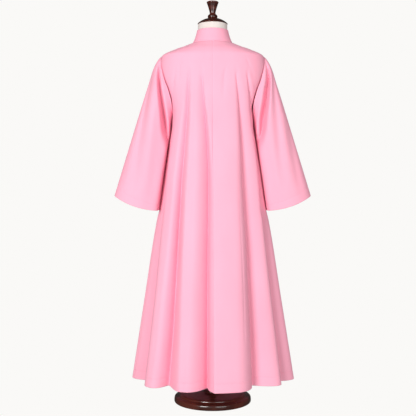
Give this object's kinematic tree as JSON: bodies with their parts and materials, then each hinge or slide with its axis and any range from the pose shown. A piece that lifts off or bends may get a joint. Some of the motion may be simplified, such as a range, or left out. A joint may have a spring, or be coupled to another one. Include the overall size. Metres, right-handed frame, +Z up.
{
  "type": "cassock on a dress form",
  "caption": "Full-length cassock with a band collar, wide bell sleeves and a flared, deeply folded skirt, worn by a limbless dress form on a round turned base.",
  "frame": {"origin": "centre of the base's flat underside, on the surface the dress form stands on", "axes": "+Z up; the garment's front faces -Y and its back +Y; +X is the wearer's left"},
  "size_m": [0.804, 0.4599, 1.6386],
  "materials": {
    "cassock_cloth": "matt plain-woven pink cloth",
    "button_cloth": "buttons covered in the same pink cloth",
    "form_cover": "off-white jersey cover",
    "turned_wood": "dark red-brown wood, glossy varnish"
  },
  "bodies": {
    "root": {"back_left": "cassock_cloth", "back_right": "cassock_cloth", "front_left": "cassock_cloth", "front_right": "cassock_cloth", "sleeve_left": "cassock_cloth", "sleeve_right": "cassock_cloth", "collar": "cassock_cloth", "button_01": "button_cloth", "button_02": "button_cloth", "button_03": "button_cloth", "button_04": "button_cloth", "button_05": "button_cloth", "button_06": "button_cloth", "button_07": "button_cloth", "button_08": "button_cloth", "button_09": "button_cloth", "button_10": "button_cloth", "button_11": "button_cloth", "button_12": "button_cloth", "button_collar": "button_cloth", "form_torso": "form_cover", "form_cap": "turned_wood", "form_finial": "turned_wood", "form_base": "turned_wood", "form_pole": "turned_wood"}
  },
  "joints": []
}
